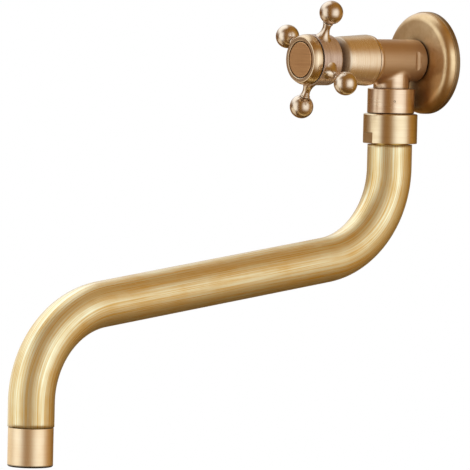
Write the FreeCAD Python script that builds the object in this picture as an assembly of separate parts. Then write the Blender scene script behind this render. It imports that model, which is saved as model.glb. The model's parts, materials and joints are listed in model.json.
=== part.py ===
import FreeCAD, Part
import os
from math import acos, asin, cos, pi, radians, sin, sqrt, tan

# Wall-mount cold water tap. Millimetres, Z up. The origin is where the inlet axis meets the wall.
# The wall is the XZ plane, and the tap stands out from it along -Y.

# Wall thread, half inch parallel pipe thread drawn as level ridges
thread_radius = 10.478
thread_pitch = 1.814
thread_depth = 1.1
thread_crest = 0.4
thread_ridges = 9
shank_reach = 14.0
pilot_step = 0.35
pilot_length = 2.6

# Escutcheon, a domed shell over the wall hole
rim_radius = 27.5
rim_height = 3.0
rim_step = 0.3
shoulder_radius = 5.2
shoulder_turn = 84.0
crown_radius = 100.0
shell_wall = 1.4
plate_gap = 0.55
plate_drop = 1.15
gasket_width = 3.4
gasket_thickness = 1.6

# Water passage and headwork
disc_radius = 7.0
disc_thickness = 3.5
port_span = 70.0
port_inner_radius = 2.2
port_rim = 1.4
skirt_wall = 0.7
water_gap = 1.1
body_wall = 2.4
seal_length = 4.5
seal_wall = 1.25
seal_proud = 1.0
seat_land = 1.4
lug_width = 2.4
window_width = 8.6
window_length = 6.0
drive_length = 4.4
dog_width = 3.0
dog_depth = 1.2
washer_thickness = 0.75
shoulder_wall = 1.2
headwork_thread_length = 8.15
headwork_thread_step = 0.1
seal_section = 0.68
face_flange_height = 1.2
face_flange_overhang = 0.8
hex_height = 3.6
hex_inset = 0.2

# Barrel and branch of the casting
branch_setback = 2.542
branch_step = 1.65
branch_flare = 0.3
branch_wall = 2.65
seat_margin = 1.3
tee_fillet = 3.0
scallop_setback = 3.75
scallop_depth = 1.2
scallop_length = 4.6
barrel_edge = 0.25
flange_overhang = 2.1
flange_edge = 1.2
flare_length = 2.0
flange_length = 2.7

# Spindle
spindle_radius = 4.0
spline_teeth = 20
spline_depth = 0.45
spline_inset = 0.45
ring_section = 0.75
ring_spacing = 5.0
clip_thickness = 0.8
clip_depth = 0.7
clip_width = 2.0
clip_opening = 5.4

# Bonnet
bonnet_length = 25.4
bonnet_overhang = 0.3
bonnet_drop = 1.25
nose_length = 5.6
nose_drop = 4.5
nose_edge = 3.0
bonnet_wall = 1.4
bonnet_front_wall = 3.0
neck_wall = 2.95

# Handle
hub_gap = 0.55
hub_step = 0.15
hub_edge = 0.8
clip_recess_depth = 2.2
arm_setback = 7.55
arm_front = 4.9
arm_count = 4
arm_lean = 65.0
ball_radius = 6.3
waist_radius = 2.05
waist_rise = 5.3
waist_length = 2.0
neck_radius = 2.3
bead_radius = 2.75
bead_length = 1.1
flare_radius = 5.0
stud_radius = 1.95
stud_depth = 3.6
cap_thickness = 5.03
cap_flank_length = 4.4
cap_flank_drop = 1.4
cap_bevel_length = 0.12
cap_bevel_width = 0.35
cap_back_edge = 0.6
cap_inner_edge = 0.45
cap_gap = 1.05
head_room = 1.5
cap_thread_wall = 4.15
cap_thread_length = 2.4
cap_front_wall = 1.3
cap_rim = 3.65
inlay_groove = 0.5
inlay_thickness = 1.1
inlay_edge = 0.45
screw_radius = 2.0
screw_head_radius = 3.6
screw_head_height = 2.2
screw_length = 10.0
screw_socket = 3.0

# Swivel under the casting
collar_drop = 0.7
collar_height = 13.3
collar_step = 1.62
collar_edge = 0.5
mark_radius = 0.6
mark_depth = 0.35
mark_turn = 60.0
tail_bore_radius = 5.4
tail_wall = 2.55
outlet_wall = 2.95
tail_ring_section = 0.9
tail_ring_first = 4.5
tail_ring_spacing = 6.0
tail_entry = 5.5
tail_play = 0.6
split_ring_height = 2.2
split_ring_depth = 0.7
split_ring_width = 3.2
split_ring_opening = 3.0
split_ring_play = 0.2
outlet_play = 0.8
nut_height = 15.85
nut_wall = 3.48
nut_edge = 0.8
nut_lip_height = 2.6
nut_flat_depth = 0.85
nut_flat_height = 5.9
nut_turn = -9.4
waist_step = 1.5

# Spout tube
tube_radius = 12.0
tube_wall = 1.0
plug_length = 11.0
plug_margin = 1.38
bend_radius = 49.5
run_slope = 7.9
run_length = 147.8
ferrule_plug = 9.0
ferrule_margin = 3.44
ferrule_wall = 2.1
ferrule_thread_step = 0.57
ferrule_thread_length = 8.5

# Aerator
shell_height = 20.22
aerator_step = 0.3
aerator_edge = 1.0
aerator_top_edge = 0.55
aerator_lip_height = 1.7
aerator_lip_width = 1.5
aerator_washer_height = 2.0
aerator_washer_width = 2.3
screen_thickness = 0.5
screen_hole = 0.55
screen_spacing = 1.75
grid_hole = 0.95
grid_spacing = 2.5

# Clearances
running = 0.05
loose = 0.1
seam = 0.25
solder = 0.03
tube_gap = 0.6
edge_break = 0.3
fine_edge = 0.2

V = FreeCAD.Vector
OUTWARD = (V(0, 0, 0), V(0, -1, 0), V(1, 0, 0))


def outline(corners):
    """Closed outline in the XZ plane from (along, radius) corners.

    A third number rounds a corner. A ("by", along, radius) entry makes an arc of the side it stands in.
    """
    stops = [c for c in corners if c[0] != "by"]
    count = len(stops)
    arcs = {}
    for i, corner in enumerate(corners):
        if corner[0] == "by":
            before = stops.index(corners[i - 1])
            arcs[before] = V(corner[2], 0, corner[1])
    places = [V(c[1], 0, c[0]) for c in stops]
    ends = []
    for i, corner in enumerate(stops):
        here = places[i]
        rounding = corner[2] if len(corner) > 2 else 0
        if not rounding:
            ends.append((here, None, here))
            continue
        back = places[i - 1] - here
        ahead = places[(i + 1) % count] - here
        shorter = min(back.Length, ahead.Length)
        half = back.getAngle(ahead) / 2
        rounding = min(rounding, 0.45 * shorter * tan(half))
        back.normalize()
        ahead.normalize()
        trim = rounding / tan(half)
        middle = back + ahead
        middle.normalize()
        middle = here + middle * (rounding / sin(half) - rounding)
        ends.append((here + back * trim, middle, here + ahead * trim))
    edges = []
    for i, (first, middle, last) in enumerate(ends):
        after = ends[(i + 1) % count][0]
        if middle is not None:
            edges.append(Part.Arc(first, middle, last).toShape())
        if i in arcs:
            edges.append(Part.Arc(last, arcs[i], after).toShape())
        elif last.distanceToPoint(after) > 1e-6:
            edges.append(Part.makeLine(last, after))
    return Part.Wire(edges)


def place(shape, axis):
    """Carry a shape drawn about Z onto an axis given as (base, direction, side that X turns to)."""
    base, direction, side = axis
    onto = FreeCAD.Placement(base, FreeCAD.Rotation(side, V(0, 0, 0), direction, "ZXY"))
    shape.Placement = onto.multiply(shape.Placement)
    return shape


def turned(corners, axis):
    """Solid of revolution of an outline about an axis."""
    face = Part.Face(outline(corners))
    return place(face.revolve(V(0, 0, 0), V(0, 0, 1), 360), axis)


def rod(radius, low, high, axis):
    """Plain cylinder between two distances along an axis."""
    return place(Part.makeCylinder(radius, high - low, V(0, 0, low)), axis)


def ring(inner, outer, low, high, axis):
    """Plain ring between two distances along an axis."""
    return rod(outer, low, high, axis).cut(rod(inner, low, high, axis))


def o_ring(inner, outer, along, axis):
    """Round-section ring between two radii."""
    section = (outer - inner) / 2
    return place(Part.makeTorus(inner + section, section, V(0, 0, along)), axis)


def prism(points, low, high, axis):
    """Straight prism over a polygon of (x, y) points across an axis."""
    corners = [V(x, y, low) for x, y in points]
    face = Part.Face(Part.makePolygon(corners + corners[:1]))
    return place(face.extrude(V(0, 0, high - low)), axis)


def regular(sides, radius):
    """Corners of a regular polygon."""
    return [(radius * cos(2 * pi * i / sides), radius * sin(2 * pi * i / sides)) for i in range(sides)]


def toothed(teeth, outer, inner):
    """Corners of a V-toothed wheel."""
    radii = (outer, inner)
    return [
        (radii[i % 2] * cos(pi * i / teeth), radii[i % 2] * sin(pi * i / teeth))
        for i in range(2 * teeth)
    ]


def sector(inner, outer, span, turn, low, high, axis):
    """Part ring that spans an angle about a direction."""
    whole = Part.makeCylinder(outer, high - low, V(0, 0, low), V(0, 0, 1), span)
    hollow = Part.makeCylinder(inner, high - low, V(0, 0, low), V(0, 0, 1), span)
    piece = whole.cut(hollow)
    piece.rotate(V(0, 0, 0), V(0, 0, 1), turn - span / 2)
    return place(piece, axis)


def block(width, depth, low, high, axis, across=0.0, turn=0.0):
    """Box centred on an axis, or set off across it, and turned about it."""
    box = Part.makeBox(width, depth, high - low, V(across - width / 2, -depth / 2, low))
    box.rotate(V(0, 0, 0), V(0, 0, 1), turn)
    return place(box, axis)


def hole_grid(radius, spacing, reach, low, high, axis):
    """Round holes on a triangular grid that stay within a reach."""
    steps = int(reach / spacing) + 1
    holes = []
    for row in range(-steps, steps + 1):
        for column in range(-steps, steps + 1):
            x = spacing * (column + row / 2)
            y = spacing * row * sqrt(3) / 2
            if sqrt(x * x + y * y) + radius <= reach:
                hole = Part.makeCylinder(radius, high - low, V(x, y, low))
                holes.append(place(hole, axis))
    return Part.makeCompound(holes)


def save(name, *solids):
    """Write one node."""
    for solid in solids:
        if not solid.isValid() or len(solid.Solids) != 1:
            raise ValueError(name + " has a bad solid")
    shape = solids[0] if len(solids) == 1 else Part.makeCompound(list(solids))
    shape.exportStep("parts/" + name + ".step")
    print(name, [round(solid.Volume, 1) for solid in solids])


os.makedirs("parts", exist_ok=True)

# Radii that follow from the discs outward
disc_bore = disc_radius + loose
skirt_radius = disc_bore + skirt_wall
chamber_radius = skirt_radius + water_gap
barrel_radius = chamber_radius + body_wall
headwork_thread = chamber_radius + headwork_thread_step
flange_radius = barrel_radius + flange_overhang
branch_radius = barrel_radius - branch_step
branch_top = branch_radius + branch_flare
branch_bore = branch_radius - branch_wall
bonnet_rear_radius = flange_radius + bonnet_overhang
hub_radius = bonnet_rear_radius - hub_step
seal_outer = disc_bore - loose
inlet_bore_radius = seal_outer - seat_land

# Distances from the wall
runout_radius = thread_radius - thread_depth
hole_radius = thread_radius + loose
pilot_radius = thread_radius - pilot_step
hole_drop = hole_radius - pilot_radius - running
shoulder_centre = rim_radius - rim_step - shoulder_radius
turn_cos = cos(radians(shoulder_turn))
turn_sin = sin(radians(shoulder_turn))
crown_start = (
    rim_height + shoulder_radius * turn_sin,
    shoulder_centre + shoulder_radius * turn_cos,
)
crown_centre = (
    crown_start[0] - crown_radius * turn_sin,
    crown_start[1] - crown_radius * turn_cos,
)


def crown(radius, off_axis):
    """Height of a crown arc at a distance from the axis."""
    return crown_centre[0] + sqrt(radius ** 2 - (off_axis - crown_centre[1]) ** 2)


dome_top = crown(crown_radius, hole_radius)
barrel_back = dome_top + plate_gap
swivel_out = barrel_back + barrel_edge + branch_setback + tee_fillet + branch_top
DOWNWARD = (V(0, -swivel_out, 0), V(0, 0, -1), V(1, 0, 0))
seat = swivel_out - branch_bore - seat_margin
fixed_back = seat + seal_length
fixed_front = fixed_back + disc_thickness
moving_back = fixed_front + running
moving_front = moving_back + disc_thickness
drive_front = moving_front + drive_length
washer_back = drive_front + running
washer_front = washer_back + washer_thickness
shoulder = washer_front + running
thread_back = shoulder + shoulder_wall
body_front = thread_back + headwork_thread_length
bonnet_back = body_front + seam
bonnet_front = bonnet_back + bonnet_length
hub_back = bonnet_front + hub_gap
arm_out = hub_back + arm_setback
hub_front = arm_out + arm_front
web_back = hub_back + clip_recess_depth
web_front = hub_front - cap_thread_length - seam
cap_back = hub_front + cap_gap
cap_front = cap_back + cap_thickness

# Depths below the inlet axis
collar_top = barrel_radius + tee_fillet + collar_drop
collar_bottom = collar_top + collar_height
nut_top = collar_bottom + seam
nut_bottom = nut_top + nut_height
lip_top = nut_bottom - nut_lip_height
split_bottom = lip_top - split_ring_play
split_top = split_bottom - split_ring_height
outlet_end = split_top - outlet_play
tail_bore_top = collar_top + tail_entry
tail_top = tail_bore_top + tail_play
tube_top = nut_bottom + tube_gap

# Radii about the swivel
spigot_radius = tail_bore_radius + tail_wall
spigot_bore = spigot_radius + loose
outlet_thread = spigot_bore + outlet_wall
collar_radius = outlet_thread + collar_step
nut_bore = outlet_thread + running
nut_radius = nut_bore + nut_wall
tail_waist = spigot_radius + waist_step
lip_bore = tail_waist + loose

# Escutcheon: rim, tight shoulder and flat crown, hollow behind. It hangs loose on the pilot, rim lowest.
HANGING = (V(0, 0, -plate_drop), V(0, -1, 0), V(1, 0, 0))
HOLE = (V(0, 0, -hole_drop), V(0, -1, 0), V(1, 0, 0))
inner_shoulder = shoulder_radius - shell_wall
inner_crown = crown_radius - shell_wall
half_turn = radians(shoulder_turn / 2)
crown_inside = hole_radius - (plate_drop - hole_drop) - loose
crown_end = acos((crown_inside - crown_centre[1]) / crown_radius)
inner_end = acos((crown_inside - crown_centre[1]) / inner_crown)
crown_half = (radians(shoulder_turn) + crown_end) / 2
inner_half = (radians(shoulder_turn) + inner_end) / 2


def on_shoulder(radius, angle):
    """Point of a shoulder arc."""
    return (rim_height + radius * sin(angle), shoulder_centre + radius * cos(angle))


def on_crown(radius, angle):
    """Point of a crown arc."""
    return (crown_centre[0] + radius * sin(angle), crown_centre[1] + radius * cos(angle))


escutcheon = turned(
    [
        (0, rim_radius, edge_break),
        (rim_height, rim_radius, edge_break),
        on_shoulder(shoulder_radius, 0),
        ("by", *on_shoulder(shoulder_radius, half_turn)),
        on_shoulder(shoulder_radius, 2 * half_turn),
        ("by", *on_crown(crown_radius, crown_half)),
        on_crown(crown_radius, crown_end),
        on_crown(inner_crown, inner_end),
        ("by", *on_crown(inner_crown, inner_half)),
        on_shoulder(inner_shoulder, 2 * half_turn),
        ("by", *on_shoulder(inner_shoulder, half_turn)),
        on_shoulder(inner_shoulder, 0),
        (0, shoulder_centre + inner_shoulder),
    ],
    HANGING,
)
save("escutcheon", escutcheon.cut(rod(hole_radius, 0, 2 * dome_top, HOLE)))

gasket_radius = shoulder_centre + inner_shoulder - loose
gasket = ring(gasket_radius - gasket_width, gasket_radius, 0, gasket_thickness, HANGING)
save("wall_gasket", gasket)

# Casting: barrel and tapered branch meet in a filleted saddle
barrel = turned(
    [
        (barrel_back, 0),
        (barrel_back, barrel_radius, barrel_edge),
        (body_front, barrel_radius),
        (body_front, 0),
    ],
    OUTWARD,
)
branch = turned(
    [(0, 0), (0, branch_top), (collar_top, branch_radius), (collar_top, 0)],
    DOWNWARD,
)
tee = barrel.fuse(branch)
saddle = []
for edge in tee.Edges:
    spot = edge.valueAt((edge.FirstParameter + edge.LastParameter) / 2)
    from_barrel = sqrt(spot.x ** 2 + spot.z ** 2) - barrel_radius
    cone_radius = branch_top + branch_flare * spot.z / collar_top
    from_branch = sqrt(spot.x ** 2 + (spot.y + swivel_out) ** 2) - cone_radius
    if abs(from_barrel) < 1e-3 and abs(from_branch) < 1e-3:
        saddle.append(edge)
tee = tee.makeFillet(tee_fillet, saddle)

flange_back = body_front - flange_length
flare_back = flange_back - flare_length
flare_rise = flange_radius - flange_edge - barrel_radius
flare_mid = (flare_back + 0.62 * flare_length, barrel_radius + 0.28 * flare_rise)
flange = turned(
    [
        (flare_back, barrel_radius - body_wall / 2),
        (flare_back, barrel_radius - running),
        ("by", *flare_mid),
        (flange_back, flange_radius - flange_edge),
        ("by", flange_back + 0.3 * flange_edge, flange_radius - 0.3 * flange_edge),
        (flange_back + flange_edge, flange_radius),
        (body_front, flange_radius, flange_edge),
        (body_front, barrel_radius - body_wall / 2),
    ],
    OUTWARD,
)
collar = turned(
    [
        (collar_top, 0),
        (collar_top, collar_radius, collar_edge),
        (collar_bottom, collar_radius, collar_edge),
        (collar_bottom, outlet_thread),
        (outlet_end, outlet_thread, edge_break),
        (outlet_end, 0),
    ],
    DOWNWARD,
)

# Ridged wall thread, a plain run-out and the pilot behind the barrel
ridges = [(-shank_reach, 0), (-shank_reach, runout_radius)]
along = -shank_reach + thread_depth
ridges.append((along, thread_radius))
for _ in range(thread_ridges):
    valley = (thread_pitch - thread_crest) / 2
    ridges.append((along + thread_crest, thread_radius))
    ridges.append((along + thread_crest + valley, runout_radius))
    ridges.append((along + thread_pitch, thread_radius))
    along += thread_pitch
ridges.append((along + thread_crest, thread_radius))
ridges.append((along + thread_crest + thread_depth, runout_radius))
ridges.append((barrel_back - pilot_length, runout_radius))
ridges.append((barrel_back - pilot_length, pilot_radius))
ridges.append((barrel_back + barrel_edge, pilot_radius))
ridges.append((barrel_back + barrel_edge, 0))
shank = turned(ridges, OUTWARD)

casting = tee.fuse([flange, collar, shank])
counterbore = headwork_thread + running + 2 * seal_section
counterbore_depth = 2 * seal_section + loose
hollows = [
    rod(inlet_bore_radius, -shank_reach, seat, OUTWARD),
    rod(chamber_radius, seat, body_front, OUTWARD),
    rod(headwork_thread + running, thread_back, body_front, OUTWARD),
    rod(counterbore, body_front - counterbore_depth, body_front, OUTWARD),
    rod(branch_bore, 0, tail_bore_top, DOWNWARD),
    rod(spigot_bore, tail_bore_top, outlet_end, DOWNWARD),
]
scallop_radius = (scallop_length ** 2 / 4 + scallop_depth ** 2) / (2 * scallop_depth)
scallop_out = barrel_back + scallop_setback + scallop_length / 2
for side in (1, -1):
    across = side * (barrel_radius - scallop_depth + scallop_radius)
    scallop_axis = (V(across, -scallop_out, 0), V(0, 0, 1), V(1, 0, 0))
    hollows.append(rod(scallop_radius, -barrel_radius, barrel_radius, scallop_axis))
mark_height = -(collar_top + collar_bottom) / 2
mark_way = V(sin(radians(mark_turn)), -cos(radians(mark_turn)), 0)
mark_axis = (DOWNWARD[0] + V(0, 0, mark_height), mark_way, V(0, 0, 1))
hollows.append(rod(mark_radius, collar_radius - mark_depth, 2 * collar_radius, mark_axis))
save("valve_body", casting.cut(hollows).removeSplitter())

# Headwork: skirt round the discs, thread, flange, hexagon and neck
skirt_back = seat + seal_proud
face_flange_radius = counterbore + face_flange_overhang
hex_back = body_front + face_flange_height
hex_front = hex_back + hex_height
spindle_bore = spindle_radius + running
neck_outer = spindle_bore + neck_wall
housing = turned(
    [
        (skirt_back, disc_bore),
        (skirt_back, skirt_radius),
        (thread_back + seam, skirt_radius),
        (thread_back + seam, headwork_thread),
        (body_front, headwork_thread),
        (body_front, face_flange_radius, edge_break),
        (hex_back, face_flange_radius, edge_break),
        (hex_back, neck_outer),
        (bonnet_front, neck_outer, edge_break),
        (bonnet_front, spindle_bore),
        (shoulder, spindle_bore),
        (shoulder, disc_bore),
    ],
    OUTWARD,
)
hexagon = prism(regular(6, face_flange_radius - hex_inset), hex_back, hex_front, OUTWARD)
hexagon = hexagon.cut(rod((spindle_bore + neck_outer) / 2, hex_back, hex_front, OUTWARD))
window_back = moving_back + seam
openings = [
    block(window_width, 3 * skirt_radius, window_back, window_back + window_length, OUTWARD),
    block(3 * skirt_radius, lug_width + 2 * running, skirt_back, fixed_front + running, OUTWARD),
]
save("cartridge_housing", housing.fuse(hexagon).cut(openings))

face_o_ring = o_ring(headwork_thread, counterbore, body_front - seal_section - running, OUTWARD)
save("cartridge_o_ring", face_o_ring)
save("seat_seal", ring(seal_outer - seal_wall, seal_outer, seat, fixed_back, OUTWARD))

# Ceramic discs: the ports stand a quarter turn apart while the tap is shut
port_outer_radius = disc_radius - port_rim


def ports(turn, low, high):
    """Two opposite sector ports."""
    return [
        sector(port_inner_radius, port_outer_radius, port_span, turn + half, low, high, OUTWARD)
        for half in (0, 180)
    ]


lugs = block(2 * skirt_radius, lug_width, fixed_back, fixed_front, OUTWARD)
fixed_disc = rod(disc_radius, fixed_back, fixed_front, OUTWARD).fuse(lugs)
save("fixed_disc", fixed_disc.cut(ports(0, fixed_back, fixed_front)))
dog_back = moving_front - dog_depth
slot = block(3 * disc_radius, dog_width + 2 * running, dog_back - running, moving_front, OUTWARD)
moving_disc = rod(disc_radius, moving_back, moving_front, OUTWARD).cut(slot)
save("moving_disc", moving_disc.cut(ports(90, moving_back, moving_front)))

# Spindle: dog, drive flange, stem with seals, clip groove and splined end
drive_radius = disc_radius - 2 * loose
clip_back = bonnet_front + seam
clip_front = clip_back + clip_thickness
clip_floor = spindle_radius - clip_depth
spline_back = web_back
spindle_end = web_front - spline_inset
ring_floor = spindle_bore - 2 * ring_section
ring_half = ring_section + loose
rings_out = [hex_front + ring_half + seam + i * ring_spacing for i in range(2)]
stem = [(moving_front, 0), (moving_front, drive_radius, fine_edge), (drive_front, drive_radius, fine_edge)]
stem.append((drive_front, spindle_radius))
for middle in rings_out:
    stem.append((middle - ring_half, spindle_radius))
    stem.append((middle - ring_half, ring_floor))
    stem.append((middle + ring_half, ring_floor))
    stem.append((middle + ring_half, spindle_radius))
stem.append((clip_back, spindle_radius))
stem.append((clip_back, clip_floor))
stem.append((clip_front, clip_floor))
stem.append((clip_front, spindle_radius))
stem.append((spline_back, spindle_radius))
stem.append((spline_back, 0))
spindle = turned(stem, OUTWARD)
dog = block(2 * drive_radius - dog_width, dog_width, dog_back, moving_front, OUTWARD)
spline = prism(
    toothed(spline_teeth, spindle_radius, spindle_radius - spline_depth), spline_back, spindle_end, OUTWARD
)
screw_hole = rod(screw_radius + running, web_front - screw_length - 1, spindle_end, OUTWARD)
save("spindle", spindle.fuse([dog, spline]).cut(screw_hole))
stem_rings = [o_ring(ring_floor, spindle_bore - running / 2, middle, OUTWARD) for middle in rings_out]
save("spindle_o_rings", *stem_rings)
clip = ring(clip_floor + running, clip_floor + clip_width + clip_depth, clip_back, clip_front, OUTWARD)
clip_reach = 2 * (clip_floor + clip_width + clip_depth)
gap_box = block(clip_reach, clip_opening, clip_back, clip_front, OUTWARD, clip_reach / 2)
save("spindle_clip", clip.cut(gap_box))
washer = ring(spindle_radius + loose, drive_radius, washer_back, washer_front, OUTWARD)
save("thrust_washer", washer)

# Bonnet: shroud screwed on the neck, a slim cone with a steep nose
bonnet_bore = neck_outer + running
nose_back = bonnet_front - nose_length
nose_radius = bonnet_rear_radius - bonnet_drop
bonnet_front_radius = nose_radius - nose_drop
bonnet = turned(
    [
        (bonnet_back, bonnet_rear_radius - bonnet_wall),
        (bonnet_back, bonnet_rear_radius, edge_break),
        (nose_back, nose_radius, nose_edge),
        (bonnet_front, bonnet_front_radius, edge_break),
        (bonnet_front, bonnet_bore, edge_break),
        (bonnet_front - bonnet_front_wall, bonnet_bore),
        (bonnet_front - bonnet_front_wall, nose_radius - nose_drop / 2 - bonnet_wall),
    ],
    OUTWARD,
)
save("bonnet", bonnet)

# Handle hub: clip recess behind, splined web, threaded recess in front, four tapped holes
cap_thread = hub_radius - cap_thread_wall
hub = turned(
    [
        (hub_back, 0),
        (hub_back, hub_radius, hub_edge),
        (hub_front, hub_radius, edge_break),
        (hub_front, 0),
    ],
    OUTWARD,
)
clip_recess = neck_outer + seam
hub_hollows = [
    rod(clip_recess, hub_back, web_back, OUTWARD),
    rod(cap_thread + running, web_front, hub_front, OUTWARD),
    prism(
        toothed(spline_teeth, spindle_radius + running, spindle_radius - spline_depth + running),
        web_back,
        web_front,
        OUTWARD,
    ),
]
arm_ways = []
for i in range(arm_count):
    turn = radians(arm_lean + 360 * i / arm_count)
    arm_ways.append((V(0, -arm_out, 0), V(cos(turn), 0, sin(turn)), V(0, -1, 0)))
for way in arm_ways:
    hub_hollows.append(rod(stud_radius + running, hub_radius - stud_depth, hub_radius, way))
save("handle_hub", hub.cut(hub_hollows))

# Handle arms: stud, flared foot, waist, bead and ball
waist_reach = hub_radius + waist_rise
flare_foot = sqrt(hub_radius ** 2 - flare_radius ** 2)
flare_run = waist_reach - flare_foot
flare_drop = flare_radius - waist_radius
flare_arc = (flare_run ** 2 + flare_drop ** 2) / (2 * flare_drop)
flare_half = asin(flare_run / flare_arc) / 2
flare_mid = (
    waist_reach - flare_arc * sin(flare_half),
    waist_radius + flare_arc * (1 - cos(flare_half)),
)
bead_start = waist_reach + waist_length
ball_neck = bead_start + bead_length
arm_reach = ball_neck + sqrt(ball_radius ** 2 - neck_radius ** 2)
hub_room = rod(hub_radius + running / 2, bonnet_back, cap_front, OUTWARD)
for i, way in enumerate(arm_ways):
    arm = turned(
        [
            (flare_foot, 0),
            (flare_foot, flare_radius),
            ("by", *flare_mid),
            (waist_reach, waist_radius),
            (bead_start, neck_radius),
            ("by", bead_start + bead_length / 2, bead_radius),
            (ball_neck, neck_radius),
            ("by", arm_reach, ball_radius),
            (arm_reach + ball_radius, 0),
        ],
        way,
    )
    stud = rod(stud_radius, hub_radius - stud_depth + loose, waist_reach, way)
    save("handle_arm_" + str(i + 1), arm.cut(hub_room).fuse(stud))

# Cap with a shallow recess for the plain inlay
recess_radius = hub_radius - cap_rim
inlay_radius = recess_radius - inlay_groove
inlay_back = cap_front - inlay_thickness
hollow_front = inlay_back - cap_front_wall
head_space = screw_head_radius + head_room
flank_front = cap_front - cap_bevel_length
flank_back = flank_front - cap_flank_length
flank_front_radius = hub_radius - cap_flank_drop
flank_radius = (cap_flank_length ** 2 + cap_flank_drop ** 2) / (2 * cap_flank_drop)
flank_half_turn = asin(cap_flank_length / flank_radius) / 2
flank_mid = (
    flank_back + flank_radius * sin(flank_half_turn),
    hub_radius - flank_radius * (1 - cos(flank_half_turn)),
)
cap = turned(
    [
        (cap_back - cap_thread_length, head_space),
        (cap_back - cap_thread_length, cap_thread, edge_break),
        (cap_back, cap_thread),
        (cap_back, hub_radius, cap_back_edge),
        (flank_back, hub_radius),
        ("by", *flank_mid),
        (flank_front, flank_front_radius),
        (cap_front, flank_front_radius - cap_bevel_width),
        (cap_front, recess_radius, cap_inner_edge),
        (inlay_back, recess_radius),
        (inlay_back, 0),
        (hollow_front, 0),
        (hollow_front, head_space),
    ],
    OUTWARD,
)
save("handle_cap", cap)
inlay = turned(
    [
        (inlay_back, 0),
        (inlay_back, inlay_radius),
        (cap_front, inlay_radius, inlay_edge),
        (cap_front, 0),
    ],
    OUTWARD,
)
save("index_disc", inlay)

screw = turned(
    [
        (web_front - screw_length, 0),
        (web_front - screw_length, screw_radius, edge_break),
        (web_front, screw_radius),
        (web_front, screw_head_radius),
        (web_front + screw_head_height, screw_head_radius, edge_break),
        (web_front + screw_head_height, 0),
    ],
    OUTWARD,
)
socket = prism(
    regular(6, screw_socket / sqrt(3)),
    web_front + screw_head_height / 3,
    web_front + screw_head_height,
    OUTWARD,
)
save("handle_screw", screw.cut(socket))

# Union nut with two spanner flats
nut = turned(
    [
        (nut_top, nut_bore),
        (nut_top, nut_radius, nut_edge),
        (nut_bottom, nut_radius, nut_edge / 2),
        (nut_bottom, lip_bore, fine_edge),
        (lip_top, lip_bore),
        (lip_top, nut_bore),
    ],
    DOWNWARD,
)
nut_flats = []
for half in (0, 180):
    across = nut_radius - nut_flat_depth + nut_radius / 2
    nut_flats.append(
        block(
            nut_radius,
            2 * nut_radius,
            nut_bottom - nut_flat_height,
            nut_bottom,
            DOWNWARD,
            across,
            90 - nut_turn + half,
        )
    )
save("spout_nut", nut.cut(nut_flats))

# Spout tail: sealed spigot, split ring groove, waist through the nut and plug in the tube
bore = tube_radius - tube_wall
plug_radius = bore - solder
groove_floor = spigot_radius - split_ring_depth
tail_floor = spigot_bore - 2 * tail_ring_section
tail_half = tail_ring_section + loose
tail_rings = [tail_top + tail_ring_first + i * tail_ring_spacing for i in range(2)]
tail = [(tail_top, tail_bore_radius), (tail_top, spigot_radius, edge_break)]
for middle in tail_rings:
    tail.append((middle - tail_half, spigot_radius))
    tail.append((middle - tail_half, tail_floor))
    tail.append((middle + tail_half, tail_floor))
    tail.append((middle + tail_half, spigot_radius))
tail.append((split_top - loose, spigot_radius))
tail.append((split_top - loose, groove_floor))
tail.append((split_bottom + loose, groove_floor))
tail.append((split_bottom + loose, tail_waist))
tail.append((tube_top, tail_waist))
tail.append((tube_top, plug_radius))
tail.append((tube_top + plug_length, plug_radius, edge_break))
tail.append((tube_top + plug_length, tail_bore_radius))
save("spout_tail", turned(tail, DOWNWARD))
tail_seals = [o_ring(tail_floor, spigot_bore - running / 2, middle, DOWNWARD) for middle in tail_rings]
save("tail_o_rings", *tail_seals)
split_outer = groove_floor + running + split_ring_width
split_ring = ring(groove_floor + running, split_outer, split_top, split_bottom, DOWNWARD)
split_gap = block(
    2 * split_outer, split_ring_opening, split_top, split_bottom, DOWNWARD, split_outer
)
save("split_ring", split_ring.cut(split_gap))

# Spout tube: straight legs and two bends that follow on from one another
spot = DOWNWARD[0] + V(0, 0, -tube_top)
way = V(0, 0, -1)
bend_turn = 90 - run_slope
outlet_leg = ferrule_plug + ferrule_margin
legs = []
for kind, amount in (
    ("straight", plug_length + plug_margin),
    ("bend", bend_turn),
    ("straight", run_length),
    ("bend", -bend_turn),
    ("straight", outlet_leg),
):
    outer = Part.Wire(Part.makeCircle(tube_radius, spot, way))
    inner = Part.Wire(Part.makeCircle(bore, spot, way))
    section = Part.Face(outer).cut(Part.Face(inner))
    if kind == "straight":
        legs.append(section.extrude(way * amount))
        spot = spot + way * amount
    else:
        side = 1 if amount > 0 else -1
        level = V(1, 0, 0).cross(way) * -side
        centre = spot + level * bend_radius
        swing = FreeCAD.Rotation(V(1, 0, 0), -amount)
        legs.append(section.revolve(centre, V(-1, 0, 0), amount))
        spot = centre + swing.multVec(spot - centre)
        way = swing.multVec(way)
tube = legs[0].fuse(legs[1:])
save("spout_tube", tube)

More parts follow.
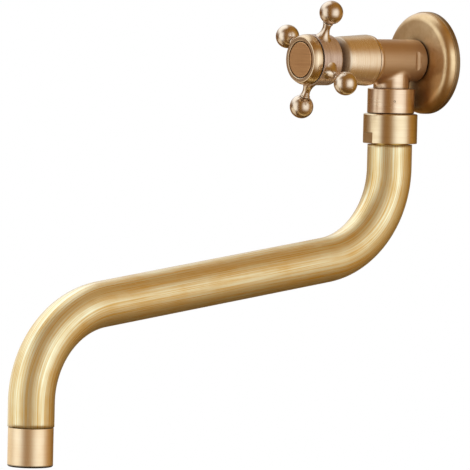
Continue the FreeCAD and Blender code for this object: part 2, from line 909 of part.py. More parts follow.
# Outlet: soldered ferrule, shell and the stack it clamps
OUTLET = (V(0, spot.y, 0), V(0, 0, -1), V(1, 0, 0))
tube_end = -spot.z
ferrule_thread = plug_radius - ferrule_thread_step
ferrule_end = tube_end + ferrule_thread_length
ferrule_bore = plug_radius - ferrule_wall
ferrule = turned(
    [
        (tube_end - ferrule_plug, ferrule_bore),
        (tube_end - ferrule_plug, plug_radius, edge_break),
        (tube_end, plug_radius),
        (tube_end, ferrule_thread),
        (ferrule_end, ferrule_thread, edge_break),
        (ferrule_end, ferrule_bore),
    ],
    OUTLET,
)
save("outlet_ferrule", ferrule)
shell_top = tube_end + seam
shell_end = shell_top + shell_height
shell_radius = tube_radius - aerator_step
shell_bore = ferrule_thread + running
lip_start = shell_end - aerator_lip_height
shell = turned(
    [
        (shell_top, shell_bore),
        (shell_top, shell_radius, aerator_top_edge),
        (shell_end, shell_radius, aerator_edge),
        (shell_end, shell_bore - aerator_lip_width, edge_break),
        (lip_start, shell_bore - aerator_lip_width),
        (lip_start, shell_bore),
    ],
    OUTLET,
)
save("aerator_shell", shell)
stack_radius = shell_bore - loose
washer_end = ferrule_end + aerator_washer_height
outlet_washer = ring(stack_radius - aerator_washer_width, stack_radius, ferrule_end, washer_end, OUTLET)
save("aerator_washer", outlet_washer)
screen_end = washer_end + screen_thickness
screen_reach = stack_radius - aerator_washer_width
screen = rod(stack_radius, washer_end, screen_end, OUTLET)
save(
    "aerator_screen",
    screen.cut(hole_grid(screen_hole, screen_spacing, screen_reach, washer_end, screen_end, OUTLET)),
)
grid_reach = shell_bore - aerator_lip_width - loose
insert = rod(stack_radius, screen_end, lip_start, OUTLET)
save(
    "aerator_insert",
    insert.cut(hole_grid(grid_hole, grid_spacing, grid_reach, screen_end, lip_start, OUTLET)),
)
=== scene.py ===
# %% [markdown]
# # A wall-mount cold water tap in aged brass
# The solids come packed in model.glb: wall plate, barrel, cross handle, union nut and a long bent spout.
# They are the fixed frame of this lesson, so the first thing to do is to load them. Blender counts in metres
# here. Real sizes are easier to read in millimetres, so they are written as such and multiplied by MM.

# %% Load the frame
import json
from math import cos, pi, radians, sin

import bmesh
import bpy
from mathutils import Matrix, Vector

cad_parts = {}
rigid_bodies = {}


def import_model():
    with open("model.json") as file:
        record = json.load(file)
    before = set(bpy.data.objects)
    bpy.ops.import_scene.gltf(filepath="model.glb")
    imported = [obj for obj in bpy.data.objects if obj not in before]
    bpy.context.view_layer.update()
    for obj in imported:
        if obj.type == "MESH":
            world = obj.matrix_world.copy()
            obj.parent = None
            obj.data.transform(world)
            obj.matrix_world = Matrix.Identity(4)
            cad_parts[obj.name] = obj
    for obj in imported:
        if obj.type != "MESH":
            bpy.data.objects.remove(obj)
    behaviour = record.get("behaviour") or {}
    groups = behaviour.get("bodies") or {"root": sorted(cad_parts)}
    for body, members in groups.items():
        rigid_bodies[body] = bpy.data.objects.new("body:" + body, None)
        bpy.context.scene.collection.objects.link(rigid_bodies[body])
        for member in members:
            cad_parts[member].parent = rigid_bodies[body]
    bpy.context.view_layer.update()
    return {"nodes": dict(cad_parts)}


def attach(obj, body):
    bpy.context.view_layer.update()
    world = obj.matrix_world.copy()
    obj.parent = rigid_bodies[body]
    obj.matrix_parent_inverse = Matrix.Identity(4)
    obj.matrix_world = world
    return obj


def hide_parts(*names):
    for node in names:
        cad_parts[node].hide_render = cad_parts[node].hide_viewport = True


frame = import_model()
nodes = frame["nodes"]
scene = bpy.context.scene
scene.view_settings.view_transform = "Standard"
MM = 0.001

# %% [markdown]
# ## The camera
# The picture is square and was taken from far away with a long lens, so the tap shows almost no
# perspective. The camera stands to the right of the wall's normal, a little above the handle, and leans by
# about a degree. Turning it in three steps, about the upright, then up, then about its own line of sight,
# keeps those three numbers readable.

# %% Camera
view_turn = radians(52.471)
view_rise = radians(3.012)
view_lean = radians(1.288)
camera_place = (2.10015, -1.74150, 0.04709)
lens = bpy.data.cameras.new("photo_camera")
lens.sensor_width = 36
lens.lens = 387.27
lens.clip_end = 50
camera = bpy.data.objects.new("photo_camera", lens)
scene.collection.objects.link(camera)
camera.matrix_world = (
    Matrix.Translation(camera_place)
    @ Matrix.Rotation(view_turn, 4, "Z")
    @ Matrix.Rotation(pi / 2 - view_rise, 4, "X")
    @ Matrix.Rotation(view_lean, 4, "Z")
)
scene.camera = camera
print("camera at", [round(v, 3) for v in camera.location], "lens", round(lens.lens, 1), "mm")

# %% [markdown]
# ## Colours and nodes
# Colours are written as they look on a screen and turned into light once, here. One small helper adds a
# node, sets it and links it, so that each finish further down reads as a short recipe.


# %% Helpers for finishes
def linear(code):
    """Screen colour such as "#C9A050" as linear light."""
    parts = [int(code[i : i + 2], 16) / 255 for i in (1, 3, 5)]
    return [p / 12.92 if p <= 0.04045 else ((p + 0.055) / 1.055) ** 2.4 for p in parts] + [1.0]


def add(tree, kind, inputs=None, **settings):
    """Add one shader node with its settings; inputs are plain values or the sockets that feed them.

    An input is called by its name, or by its number where the node has several of one name: a colour Mix
    takes its factor at 0 and its two colours at 6 and 7, and gives its result at 2.
    """
    made = tree.nodes.new("ShaderNode" + kind)
    for key, value in settings.items():
        setattr(made, key, value)
    for key, value in (inputs or {}).items():
        if isinstance(value, bpy.types.NodeSocket):
            tree.links.new(value, made.inputs[key])
        else:
            made.inputs[key].default_value = value
    return made


def start_material(name):
    """Empty material with its output node."""
    material = bpy.data.materials.new(name)
    material.use_nodes = True
    tree = material.node_tree
    tree.nodes.clear()
    return material, tree, add(tree, "OutputMaterial")


print("brass on screen #C9A050 is", [round(v, 3) for v in linear("#C9A050")[:3]])

# %% [markdown]
# ## Rubbed lines
# The tap is brass that was darkened in a bath, then rubbed back so that the metal shines through in fine
# lines, and lacquered. To the eye that is a metal with warm brown hollows and paler rubbed lines. The lines
# follow the tool: round the piece where it was turned on a lathe, along it where it was drawn over a belt.
# A photograph of scratches would have to be unwrapped on every piece. A noise that is stretched along the
# line draws them on all pieces alike, with its size in millimetres for each axis, and a second, cloudy
# noise lets the patina drift over the piece.

# %% Brass with rubbed lines
cloud_drift = 0.15


def rubbed_brass(tree, spot, deep, pale, line_mm, cloud_mm, contrast):
    """Deep brass with paler lines: gives its colour, how far each place is rubbed, and the lines.

    line_mm is how far a line runs along each axis; contrast is how far the lines leave the middle tone.
    """
    stretched = add(tree, "Mapping", {"Vector": spot, "Scale": [1 / (size * MM) for size in line_mm]})
    lines = add(
        tree, "TexNoise", {"Vector": stretched.outputs[0], "Scale": 1.0, "Detail": 4.0, "Roughness": 0.62}
    ).outputs["Fac"]
    clouds = add(
        tree, "TexNoise", {"Vector": spot, "Scale": 1 / (cloud_mm * MM), "Detail": 2.0}
    ).outputs["Fac"]
    drift = add(
        tree,
        "MapRange",
        {"Value": clouds, "From Min": 0.3, "From Max": 0.7, "To Min": -cloud_drift, "To Max": cloud_drift},
    )
    faint, bold = 0.5 - contrast, 0.5 + contrast
    streaks = add(
        tree,
        "MapRange",
        {"Value": lines, "From Min": 0.32, "From Max": 0.68, "To Min": faint, "To Max": bold},
        clamp=False,
    )
    rubbed = add(tree, "Math", {0: streaks.outputs[0], 1: drift.outputs[0]}, operation="ADD", use_clamp=True)
    colour = add(tree, "Mix", {0: rubbed.outputs[0], 6: linear(deep), 7: linear(pale)}, data_type="RGBA")
    return colour.outputs[2], rubbed.outputs[0], lines


print("clouds shift the rubbing by", cloud_drift, "either way")

# %% [markdown]
# ## Stained tone and painted shade in one zone
# One piece can be dull in one place and bright in another: the barrel is duller than the branch below it.
# Other zones hold painted shade: a dark band at the plate's rim, on the bonnet's nose beside the handle, and
# at the outlet's lip. Two materials on one piece would meet in a hard edge. Here the zone is measured from
# the piece's own axes instead, and its colour fades between two distances.

# %% Stained tone and painted shade that fade
zone_dullness = 0.35


def keep_stain_and_shade(tree, spot, colour, roughness, axes, full_mm, clean_mm, most, stain_and_shade):
    """Lay a zone's colour over the brass: it is fullest at full_mm from the origin and gone at clean_mm.

    The distance is measured along the axes marked with 1; most is the colour's largest share. On the barrel
    the colour stains it duller; at the plate's rim, the bonnet's nose and the outlet's lip it is painted
    shade.
    """
    marked = add(tree, "VectorMath", {0: spot, 1: axes}, operation="MULTIPLY")
    distance = add(tree, "VectorMath", {0: marked.outputs[0]}, operation="LENGTH").outputs["Value"]
    full, clean = full_mm * MM, clean_mm * MM
    share = add(
        tree,
        "MapRange",
        {"Value": distance, "From Min": full, "From Max": clean, "To Min": most, "To Max": 0.0},
    ).outputs[0]
    colour = add(tree, "Mix", {0: share, 6: colour, 7: linear(stain_and_shade)}, data_type="RGBA")
    roughness = add(tree, "Math", {0: share, 1: zone_dullness, 2: roughness}, operation="MULTIPLY_ADD")
    return colour.outputs[2], roughness.outputs[0]


print("a full stain is rougher by", zone_dullness)

# %% [markdown]
# ## The film and painted shade in corners
# The rubbing wheel never gets into corners and seams, so the dark film of the bath stays there, and it is
# matt. The same darkening is also painted shade: it darkens the gaps between pieces and the places behind
# the collar and beside the handle, where shade falls. Painting every seam by hand would be slow. The Ambient
# Occlusion node finds the sheltered places by itself: it tells how open the view is within a few
# millimetres.

# %% The film of the bath and painted shade in corners
# Colour of the dark film, which also paints the shade in corners, seams and gaps
film_and_shade_colour = "#22130A"
film_and_shade_most = 0.9
corner_dullness = 0.3


def keep_film_and_painted_shade(tree, colour, roughness, shelter_mm):
    """Leave the film, which is also painted shade, where walls nearer than shelter_mm close off most of the
    view.
    """
    openness = add(tree, "AmbientOcclusion", {"Distance": shelter_mm * MM}, samples=8).outputs["AO"]
    share = add(
        tree,
        "MapRange",
        {"Value": openness, "From Min": 0.3, "From Max": 0.8, "To Min": film_and_shade_most, "To Max": 0.0},
    ).outputs[0]
    colour = add(tree, "Mix", {0: share, 6: colour, 7: linear(film_and_shade_colour)}, data_type="RGBA")
    roughness = add(tree, "Math", {0: share, 1: corner_dullness, 2: roughness}, operation="MULTIPLY_ADD")
    return colour.outputs[2], roughness.outputs[0]


print("film in corners:", film_and_shade_colour, "covers up to", film_and_shade_most)

# %% [markdown]
# ## The whole recipe
# A finish is laid up in the order of the workshop: the rubbed metal, the colour of its zone, the film in its
# corners, and a clear lacquer over all, which is the coat of the Principled shader. The zone is a stained
# tone on the barrel and painted shade on the plate, the bonnet and the outlet, and the corner film is also
# painted shade where it falls. Rubbed lines are the high spots: they are smoother than the brown between
# them and stand a hair higher, so they steer the roughness and the bump as well. Where much of the film was
# left, it scatters light as no metal does, and the metallic share is a little under one.

# %% The aged brass recipe
brown_dullness = 0.06
line_bump = 0.6


def aged_brass(
    name, deep, pale, line_mm, cloud_mm, rough, relief_mm, contrast, shelter_mm,
    polish=0.04, metal=1.0, lacquer=0.35, lacquer_rough=0.22, zone=None, place=None,
):
    """Darkened, rubbed and lacquered brass.

    rough is the middle roughness and polish how much smoother the rubbed lines are; relief_mm is how far the
    lines stand out; zone holds the place and colour of a zone, if there is one: a stained tone on the
    barrel, painted shade on the plate, the bonnet and the outlet; place names the attribute that is read
    instead of the object's own coordinates.
    """
    material, tree, out = start_material(name)
    if place is None:
        spot = add(tree, "TexCoord").outputs["Object"]
    else:
        spot = add(tree, "Attribute", attribute_name=place).outputs["Vector"]
    colour, rubbed, lines = rubbed_brass(tree, spot, deep, pale, line_mm, cloud_mm, contrast)
    dull, smooth = rough + brown_dullness, rough - polish
    roughness = add(tree, "MapRange", {"Value": rubbed, "To Min": dull, "To Max": smooth}).outputs[0]
    # A zone stains the barrel duller, and paints shade at the plate's rim, the bonnet's nose and the
    # outlet's lip
    if zone:
        colour, roughness = keep_stain_and_shade(tree, spot, colour, roughness, **zone)
    # Dark film and painted shade in the sheltered corners and seams
    colour, roughness = keep_film_and_painted_shade(tree, colour, roughness, shelter_mm)
    bump = add(tree, "Bump", {"Height": lines, "Strength": line_bump, "Distance": relief_mm * MM})
    brass = add(
        tree,
        "BsdfPrincipled",
        {
            "Base Color": colour,
            "Metallic": metal,
            "Roughness": roughness,
            "Normal": bump.outputs[0],
            "Coat Weight": lacquer,
            "Coat Roughness": lacquer_rough,
        },
    )
    tree.links.new(brass.outputs[0], out.inputs["Surface"])
    return material


print("brown between the lines is rougher by", brown_dullness)

# %% [markdown]
# ## Plate and casting
# The wall plate was spun from sheet and buffed, and the casting was rubbed on a belt. Both are browner than
# the spout. Real belt lines are finer than a tenth of a millimetre and would not show, so they are drawn
# 0.9 mm apart.

# %% Finishes of the plate and the casting
belt_lines = (26, 26, 0.9)
buffed_clouds = (8, 40, 8)
finishes = {
    # Spun plate: a soft mirror with slow brown clouds, and painted shade as a dark band at its rim
    "wall plate": aged_brass(
        "aged_brass_spun", deep="#C0965E", pale="#F2D6A2", line_mm=buffed_clouds, cloud_mm=18,
        rough=0.36, relief_mm=0.01, contrast=0.2, shelter_mm=7.0,
        zone={"axes": (0, 1, 0), "full_mm": 2.2, "clean_mm": 3.2, "most": 0.6, "stain_and_shade": "#2E1B0C"},
    ),
    # Casting: level lines along the barrel and round the collar; the barrel is dull, branch and collar shine
    "casting": aged_brass(
        "aged_brass_belt_rubbed", deep="#D0AA80", pale="#F6DEBA", line_mm=belt_lines, cloud_mm=14,
        rough=0.28, relief_mm=0.008, contrast=0.16, shelter_mm=2.0,
        zone={"axes": (1, 0, 1), "full_mm": 11.4, "clean_mm": 12.4, "most": 0.8, "stain_and_shade": "#CAA270"},
    ),
}
print("finishes of the body:", list(finishes))

# %% [markdown]
# ## Bonnet and handle
# Bonnet, hub and cap were turned on a lathe, so their lines are rings about the handle's axis, which is Y.
# Real rings are as fine as the belt lines, and are drawn 0.8 mm apart so that they show. The arms were
# polished on a soft wheel and show no lines. The inlay in the cap has a straight grain, drawn 0.7 mm apart
# for the same reason.

# %% Finishes of the bonnet and the handle
rings_about_y = (30, 0.8, 30)
straight_grain = (24, 24, 0.7)
even_clouds = (6, 6, 6)
handle_finishes = {
    # Bonnet: bright rings, with painted shade on its nose where it meets the handle
    "bonnet": aged_brass(
        "aged_brass_turned", deep="#E0BE8E", pale="#FFECCA", line_mm=rings_about_y, cloud_mm=14,
        rough=0.28, relief_mm=0.01, contrast=0.26, shelter_mm=3.5, metal=0.9,
        zone={"axes": (0, 1, 0), "full_mm": 65.4, "clean_mm": 61.4, "most": 0.85, "stain_and_shade": "#4A2408"},
    ),
    # Hub: the pinkest piece, with the most film left on it
    "hub": aged_brass(
        "aged_brass_hub_turned", deep="#B69880", pale="#F2D8C0", line_mm=rings_about_y, cloud_mm=10,
        rough=0.24, relief_mm=0.012, contrast=0.34, shelter_mm=1.3, metal=0.75,
    ),
    # Cap: the same rings, more golden
    "cap": aged_brass(
        "aged_brass_cap_turned", deep="#CCAA7C", pale="#F6E0B8", line_mm=rings_about_y, cloud_mm=10,
        rough=0.26, relief_mm=0.01, contrast=0.25, shelter_mm=1.5,
    ),
    # Ball arms: a soft mirror with no lines
    "arms": aged_brass(
        "aged_brass_polished", deep="#C6AA8A", pale="#F2E0C2", line_mm=even_clouds, cloud_mm=9,
        rough=0.25, relief_mm=0.004, contrast=0.15, shelter_mm=1.6,
    ),
    # Inlay: straight grain, dull
    "inlay": aged_brass(
        "aged_brass_straight_grain", deep="#BA8856", pale="#DCAA70", line_mm=straight_grain, cloud_mm=12,
        rough=0.42, relief_mm=0.01, contrast=0.3, shelter_mm=1.0,
    ),
}
finishes.update(handle_finishes)
print("finishes of the handle:", list(handle_finishes))

# %% [markdown]
# ## Nut, spout and outlet
# These pieces are paler and more golden. Nut and outlet were turned about Z. The tube was rubbed along its
# length with coarse grit, and its long scratches are the boldest lines on the tap. They too are drawn
# coarser than they are, 0.6 mm wide, so that they show.

# %% Finishes of the nut, the spout and the outlet
rings_about_z = (30, 30, 0.8)
long_scratches = (0.6, 0.6, 55)
spout_finishes = {
    # Union nut: pale, nearly even, with a clear shine
    "nut": aged_brass(
        "golden_brass_turned", deep="#D4B480", pale="#F8E6BE", line_mm=rings_about_z, cloud_mm=14,
        rough=0.28, relief_mm=0.006, contrast=0.12, shelter_mm=1.5,
    ),
    # Outlet: the palest piece, satin, with painted shade as a dark line at its lip
    "outlet": aged_brass(
        "golden_brass_satin", deep="#F0CC96", pale="#FFECC4", line_mm=rings_about_z, cloud_mm=12,
        rough=0.42, relief_mm=0.004, contrast=0.12, shelter_mm=0.7,
        zone={"axes": (0, 0, 1), "full_mm": 208.0, "clean_mm": 207.2, "most": 0.95, "stain_and_shade": "#160D06"},
    ),
    # Tube: long pale scratches over deep gold, dull metal under a thick gloss lacquer
    "tube": aged_brass(
        "golden_brass_drawn", deep="#E6B442", pale="#FFFCD2", line_mm=long_scratches, cloud_mm=16,
        rough=0.5, relief_mm=0.05, contrast=0.47, shelter_mm=0.7, polish=0.12, metal=0.95,
        lacquer=1.0, lacquer_rough=0.24, place="straight_tube",
    ),
}
finishes.update(spout_finishes)
print("finishes of the spout:", list(spout_finishes))

# %% [markdown]
# ## The parts inside
# Rubber rings, ceramic discs, steel clips and white acetal rings hide in the tap, but they show when a
# piece is taken off. One flat colour would look like a toy, so each gets its own plain finish with a little
# grain.

# %% Finishes of the inner parts
grain_relief_mm = 0.01
grain_bump = 0.3


def plain_finish(name, dark, light, grain_mm, rough, metallic=0.0):
    """Even finish with a fine grain."""
    material, tree, out = start_material(name)
    spot = add(tree, "TexCoord").outputs["Object"]
    grain = add(
        tree, "TexNoise", {"Vector": spot, "Scale": 1 / (grain_mm * MM), "Detail": 3.0}
    ).outputs["Fac"]
    colour = add(tree, "Mix", {0: grain, 6: linear(dark), 7: linear(light)}, data_type="RGBA").outputs[2]
    bump = add(tree, "Bump", {"Height": grain, "Strength": grain_bump, "Distance": grain_relief_mm * MM})
    surface = add(
        tree,
        "BsdfPrincipled",
        {"Base Color": colour, "Metallic": metallic, "Roughness": rough, "Normal": bump.outputs[0]},
    )
    tree.links.new(surface.outputs[0], out.inputs["Surface"])
    return material


# Rubber is matt black, ceramic and acetal are off-white, steel and raw brass shine softly
finishes["rubber"] = plain_finish("nitrile_rubber", "#141414", "#242322", grain_mm=0.8, rough=0.6)
finishes["ceramic"] = plain_finish("ground_alumina", "#E2DFD6", "#F1EFE9", grain_mm=0.6, rough=0.3)
finishes["acetal"] = plain_finish("white_acetal", "#DEDBD0", "#ECEAE2", grain_mm=1.2, rough=0.45)
finishes["steel"] = plain_finish(
    "stainless_steel", "#A9A8A4", "#C9C8C4", grain_mm=0.7, rough=0.3, metallic=1.0
)
finishes["raw brass"] = plain_finish(
    "machined_brass", "#C59A45", "#DDB766", grain_mm=0.9, rough=0.25, metallic=1.0
)
print("finishes:", len(finishes))

# %% [markdown]
# ## Dressing the solids
# Most solids already have the right shape, so each only gets its finish. The object's own material slot is
# set, and the mesh stays as it came.

# %% Dress the solids
dress = {
    "wall plate": ["escutcheon"],
    "casting": ["valve_body"],
    "bonnet": ["bonnet"],
    "hub": ["handle_hub"],
    "cap": ["handle_cap"],
    "arms": ["handle_arm_1", "handle_arm_2", "handle_arm_3", "handle_arm_4"],
    "inlay": ["index_disc"],
    "nut": ["spout_nut"],
    "outlet": ["aerator_shell"],
    "tube": ["spout_tube"],
    "raw brass": ["cartridge_housing", "spindle", "spout_tail", "outlet_ferrule"],
    "rubber": [
        "wall_gasket", "cartridge_o_ring", "seat_seal", "spindle_o_rings", "tail_o_rings", "aerator_washer",
    ],
    "ceramic": ["fixed_disc", "moving_disc"],
    "steel": ["spindle_clip", "handle_screw", "aerator_screen"],
    "acetal": ["thrust_washer", "split_ring", "aerator_insert"],
}
for finish, names in dress.items():
    for name in names:
        nodes[name].material_slots[0].material = finishes[finish]
print("dressed:", sum(len(names) for names in dress.values()))

# %% [markdown]
# ## The spout tube
# The spout is one length of drawn tube, rubbed along its length while it was straight and then bent twice,
# so its lines run round the bends with it. A pattern on the object's own axes can't do that. The tube is
# therefore drawn again: a circle is extruded step by step along the legs and turned round the bends, and
# every ring remembers where it lay on the straight tube. The finish reads that place.

# %% Sizes of the spout tube
tube_radius = 12.0 * MM
tube_wall = 1.0 * MM
tube_sides = 96
bend_radius = 49.5 * MM
run_fall = 7.9
bend_turn = radians(90 - run_fall)
tube_out = 25.0 * MM
tube_top = -45.0 * MM
tube_start = Vector((0, -tube_out, tube_top))
# Each stretch has its kind, its length or angle, and the steps that draw it
stretches = [
    ("leg", 12.38 * MM, 6),
    ("bend", bend_turn, 40),
    ("leg", 147.8 * MM, 40),
    ("bend", -bend_turn, 40),
    ("leg", 12.44 * MM, 6),
]
print("tube of", len(stretches), "stretches,", sum(steps for *_, steps in stretches), "steps")

# %% Draw the spout tube
skin = bmesh.new()
straight = skin.verts.layers.float_vector.new("straight_tube")
bmesh.ops.create_circle(skin, cap_ends=False, radius=tube_radius, segments=tube_sides)
for vert in skin.verts:
    vert[straight] = vert.co
bmesh.ops.translate(skin, verts=skin.verts[:], vec=tube_start)
spine, heading, run = tube_start.copy(), Vector((0, 0, -1)), 0.0
rim = skin.edges[:]
for kind, amount, steps in stretches:
    step = amount / steps
    if kind == "bend":
        side = 1 if amount > 0 else -1
        pivot = spine + Vector((0, -heading.z, heading.y)) * -side * bend_radius
        step_turn = Matrix.Rotation(-step, 3, "X")
    for _ in range(steps):
        grown = bmesh.ops.extrude_edge_only(skin, edges=rim)["geom"]
        ring = [g for g in grown if isinstance(g, bmesh.types.BMVert)]
        rim = [g for g in grown if isinstance(g, bmesh.types.BMEdge)]
        if kind == "leg":
            bmesh.ops.translate(skin, verts=ring, vec=heading * step)
            spine = spine + heading * step
            run += step
        else:
            bmesh.ops.rotate(skin, verts=ring, cent=pivot, matrix=step_turn)
            spine, heading = pivot + step_turn @ (spine - pivot), step_turn @ heading
            run += abs(step) * bend_radius
        for vert in ring:
            vert[straight] = Vector((vert[straight].x, vert[straight].y, run))
print("tube length", round(run / MM, 1), "mm, ends at", [round(v / MM, 2) for v in spine])

# %% [markdown]
# ## A wall for the tube
# So far the tube is a skin without thickness. Solidify gives it the wall that shows at the open ends. The
# normals are put right before that, because afterwards the inner wall would be turned round. Every new
# piece then goes the same way from a bmesh into the scene, so that way is a helper.


# %% Finish the spout tube
def put_in_scene(name, shape, material):
    """Turn a bmesh into an object with one material."""
    mesh = bpy.data.meshes.new(name)
    shape.to_mesh(mesh)
    shape.free()
    mesh.materials.append(material)
    made = bpy.data.objects.new(name, mesh)
    scene.collection.objects.link(made)
    return made


bmesh.ops.recalc_face_normals(skin, faces=skin.faces[:])
bmesh.ops.solidify(skin, geom=skin.faces[:], thickness=tube_wall)
for face in skin.faces:
    face.smooth = True
tube = put_in_scene("drawn_tube", skin, finishes["tube"])
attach(tube, "spout")
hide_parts("spout_tube")
print("tube faces:", len(tube.data.polygons))

# %% [markdown]
# ## The studio
# The tap hangs in a white space. The world is white where the camera looks at it, and also where metal
# mirrors it. For soft light on the pieces it is a little darker and warmer, which the Light Path node can
# tell apart.

# %% World
world = bpy.data.worlds.new("white_studio")
scene.world = world
world.use_nodes = True
sky = world.node_tree
sky.nodes.clear()
path = add(sky, "LightPath").outputs
seen = add(sky, "Math", {0: path["Is Camera Ray"], 1: path["Is Glossy Ray"]}, operation="MAXIMUM")
seen = add(sky, "Math", {0: seen.outputs[0], 1: path["Is Transmission Ray"]}, operation="MAXIMUM")
fill = add(sky, "Background", {"Color": linear("#F4F2EE"), "Strength": 0.8})
white = add(sky, "Background", {"Color": linear("#FFFFFF"), "Strength": 1.0})
either = add(sky, "MixShader", {0: seen.outputs[0], 1: fill.outputs[0], 2: white.outputs[0]})
add(sky, "OutputWorld", {"Surface": either.outputs[0]})
print("world:", world.name)

# %% [markdown]
# ## The tent
# Polished metal shows mostly what stands around it, so a photographer puts up soft boxes for the bright
# bands and dark cards for the browns between them. Many cards would be hard to line up. Here they are one
# tent of brown cloth that only reflections see, with soft-edged windows in it: one to the right, one to the
# left, a large one high up behind and a slim one straight behind. First come the two angles that say where
# a spot on the tent lies: its turn to the right of the camera and its rise above the horizon.

# %% Angles on the tent
middle = Vector((0, -0.12, -0.08))
cloth, tree, out = start_material("brown_tent_cloth")
spot = add(tree, "TexCoord").outputs["Object"]
facing = add(
    tree,
    "Mapping",
    {"Vector": spot, "Location": middle, "Rotation": (0, 0, view_turn), "Scale": (1, -1, 1)},
    vector_type="TEXTURE",
)
way = add(tree, "VectorMath", {0: facing.outputs[0]}, operation="NORMALIZE")
to_right, to_front, up = add(tree, "SeparateXYZ", {0: way.outputs[0]}).outputs
turn = add(tree, "Math", {0: to_right, 1: to_front}, operation="ARCTAN2").outputs[0]
rise = add(tree, "Math", {0: up}, operation="ARCSINE").outputs[0]
aside = add(tree, "Math", {0: turn}, operation="ABSOLUTE").outputs[0]
print("angles are seen from", [round(v / MM) for v in middle], "mm")

# %% [markdown]
# ## Windows in the tent
# A window is a range of turn and a range of rise, each with its centre, its half width and its softness in
# degrees. The window straight behind uses the turn to either side, since the angle jumps there. The white
# world shows through a window as far as it is clear, and a lamp behind it adds a little cool daylight.

# %% Windows
# Right, left, high up behind and straight behind: the angles, how clear it is and how strong its lamp is
windows = [
    ({turn: (45, 29, 18), rise: (2, 30, 18)}, 1.0, 0.68),
    ({turn: (-68, 25, 10), rise: (2, 34, 14)}, 1.0, 0.55),
    ({turn: (-132, 50, 20), rise: (55, 35, 14)}, 1.0, 0.7),
    ({aside: (180, 24, 12), rise: (36, 34, 12)}, 0.4, 0.0),
]
opened = lit = 0.0
for window, clearness, lamp_light in windows:
    cover = 1.0
    for angle, (centre, half, soft) in window.items():
        off = add(tree, "Math", {0: angle, 1: radians(centre)}, operation="SUBTRACT")
        off = add(tree, "Math", {0: off.outputs[0]}, operation="ABSOLUTE").outputs[0]
        inner, outer = radians(half - soft), radians(half + soft)
        inside = add(
            tree,
            "MapRange",
            {"Value": off, "From Min": inner, "From Max": outer, "To Min": 1.0, "To Max": 0.0},
            interpolation_type="SMOOTHSTEP",
        )
        cover = add(tree, "Math", {0: inside.outputs[0], 1: cover}, operation="MULTIPLY").outputs[0]
    seen_through = add(tree, "Math", {0: cover, 1: clearness}, operation="MULTIPLY")
    opened = add(tree, "Math", {0: seen_through.outputs[0], 1: opened}, operation="MAXIMUM").outputs[0]
    lit = add(tree, "Math", {0: cover, 1: lamp_light, 2: lit}, operation="MULTIPLY_ADD").outputs[0]
print("windows:", len(windows))

# %% [markdown]
# ## The cloth
# The cloth is brown on the left and golden on the right, and it gets darker towards the ground. At the far
# right it dims too, but not high up, so that edges which look away from the camera are dark and tops stay
# bright.

# %% Cloth of the tent
left_brown, right_gold = linear("#785636"), linear("#B2873C")
across = add(tree, "MapRange", {"Value": to_right, "From Min": -1.0, "From Max": 1.0})
shade = add(tree, "Mix", {0: across.outputs[0], 6: left_brown, 7: right_gold}, data_type="RGBA")
ground = add(
    tree,
    "MapRange",
    {"Value": rise, "From Min": radians(-65), "From Max": radians(-15), "To Min": 0.5, "To Max": 1.0},
)
far_right = add(
    tree,
    "MapRange",
    {"Value": turn, "From Min": radians(105), "From Max": radians(140), "To Min": 1.0, "To Max": 0.45},
)
high_up = add(tree, "MapRange", {"Value": rise, "From Min": radians(15), "From Max": radians(40)})
spared = add(tree, "Math", {0: far_right.outputs[0], 1: high_up.outputs[0]}, operation="MAXIMUM")
dimmed = add(tree, "Math", {0: ground.outputs[0], 1: spared.outputs[0]}, operation="MULTIPLY")
glow = add(tree, "Emission", {"Color": shade.outputs[2], "Strength": dimmed.outputs[0]})
clear = add(tree, "BsdfTransparent")
hung = add(tree, "MixShader", {0: opened, 1: glow.outputs[0], 2: clear.outputs[0]})
daylight = add(tree, "Emission", {"Color": linear("#BFD8FF"), "Strength": lit})
both = add(tree, "AddShader", {0: hung.outputs[0], 1: daylight.outputs[0]})
tree.links.new(both.outputs[0], out.inputs["Surface"])
print("cloth nodes:", len(tree.nodes))

# %% [markdown]
# ## Hanging the tent
# A round tent has no corners that would show in the brass. The camera, soft light and shadows pass through
# it as if it were not there, so it changes nothing but reflections.


# %% Hang the tent
def show_only_in_reflections(card):
    """Hide a card from all rays but those that metal mirrors."""
    card.visible_camera = card.visible_diffuse = card.visible_shadow = card.visible_transmission = False


tent_radius = 4.0
shell = bmesh.new()
bmesh.ops.create_icosphere(shell, subdivisions=4, radius=tent_radius)
bmesh.ops.translate(shell, verts=shell.verts[:], vec=middle)
tent = put_in_scene("card_tent", shell, cloth)
show_only_in_reflections(tent)
print("tent", 2 * tent_radius, "m wide")

# %% [markdown]
# ## A card behind the outlet
# The outlet hangs far out, and its edge that looks away from the camera is bright all the same. A wider
# window would brighten every other piece too. A small white card close behind the outlet does it alone.


# %% Card behind the outlet
def direction(turn, rise):
    """Way from the tap to a place in the studio: turn to the right of the camera, rise above the horizon."""
    around, above = view_turn + radians(turn), radians(rise)
    return Vector((sin(around) * cos(above), -cos(around) * cos(above), sin(above)))


card_half = 0.14
card_away = 0.2
card_way = direction(-136, 0)
outlet = Vector((0, -0.257, -0.2))
sheet = bmesh.new()
bmesh.ops.create_grid(sheet, x_segments=1, y_segments=1, size=card_half)
bmesh.ops.rotate(sheet, verts=sheet.verts[:], matrix=card_way.to_track_quat("Z", "Y").to_matrix())
bmesh.ops.translate(sheet, verts=sheet.verts[:], vec=outlet + card_way * card_away)
white_card, tree, out = start_material("white_card")
paper = add(tree, "Emission", {"Color": linear("#FFF6EA"), "Strength": 0.9})
tree.links.new(paper.outputs[0], out.inputs["Surface"])
card = put_in_scene("outlet_card", sheet, white_card)
show_only_in_reflections(card)
print("card", round(2 * card_half / MM), "mm wide,", round(card_away / MM), "mm from the outlet")

# %% [markdown]
# ## Soft boxes
# The lamps hang in line with the tent's windows and light what is not a mirror: rubber, ceramic, the floor
# and the film on the brass. The metal already mirrors the windows, so the lamps themselves are kept out of
# reflections.


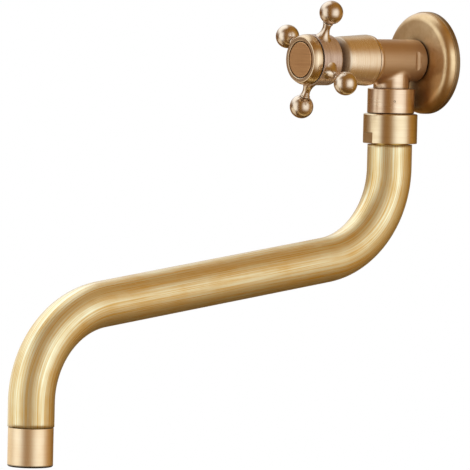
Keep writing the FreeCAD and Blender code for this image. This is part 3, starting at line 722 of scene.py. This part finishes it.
# %% Soft boxes
def soft_box(name, turn, rise, distance, wide, high, light):
    """Area lamp that faces the tap; light is how bright its face looks, where 1 is white."""
    lamp = bpy.data.lights.new(name, "AREA")
    lamp.shape = "RECTANGLE"
    lamp.size, lamp.size_y = wide, high
    lamp.energy = light * pi * wide * high
    placed = bpy.data.objects.new(name, lamp)
    scene.collection.objects.link(placed)
    way = direction(turn, rise)
    placed.location = middle + way * distance
    placed.rotation_euler = way.to_track_quat("Z", "Y").to_euler()
    placed.visible_camera = placed.visible_glossy = False
    return placed


boxes = [
    soft_box("right_box", turn=50, rise=2, distance=1.6, wide=0.9, high=1.6, light=0.35),
    soft_box("left_box", turn=-72, rise=6, distance=1.6, wide=1.2, high=1.5, light=0.25),
    soft_box("top_box", turn=-138, rise=52, distance=1.8, wide=2.0, high=1.6, light=0.6),
]
print("soft boxes:", [b.name for b in boxes])

# %% [markdown]
# ## The floor
# The floor lies as far below the outlet as a sink would. A plain disc would end in a visible line, so it
# fades into the white before it comes into the picture.

# %% Floor
floor_radius = 0.95
floor_height = -0.32
fade_start, fade_end = 0.45, 0.92
floor_middle = Vector((middle.x, middle.y, floor_height))
disc = bmesh.new()
bmesh.ops.create_circle(disc, cap_ends=True, radius=floor_radius, segments=96)
bmesh.ops.translate(disc, verts=disc.verts[:], vec=floor_middle)
pale_floor, tree, out = start_material("pale_floor")
matt = add(tree, "BsdfDiffuse", {"Color": linear("#F3F2F0"), "Roughness": 0.5})
spot = add(tree, "TexCoord").outputs["Object"]
from_middle = add(tree, "VectorMath", {0: spot, 1: floor_middle}, operation="DISTANCE").outputs["Value"]
faded = add(
    tree,
    "MapRange",
    {"Value": from_middle, "From Min": fade_start, "From Max": fade_end},
    interpolation_type="SMOOTHSTEP",
)
gone = add(tree, "BsdfTransparent")
edge = add(tree, "MixShader", {0: faded.outputs[0], 1: matt.outputs[0], 2: gone.outputs[0]})
tree.links.new(edge.outputs[0], out.inputs["Surface"])
floor = put_in_scene("pale_floor", disc, pale_floor)
floor.visible_glossy = False
print("floor at", round(floor_middle.z / MM), "mm")
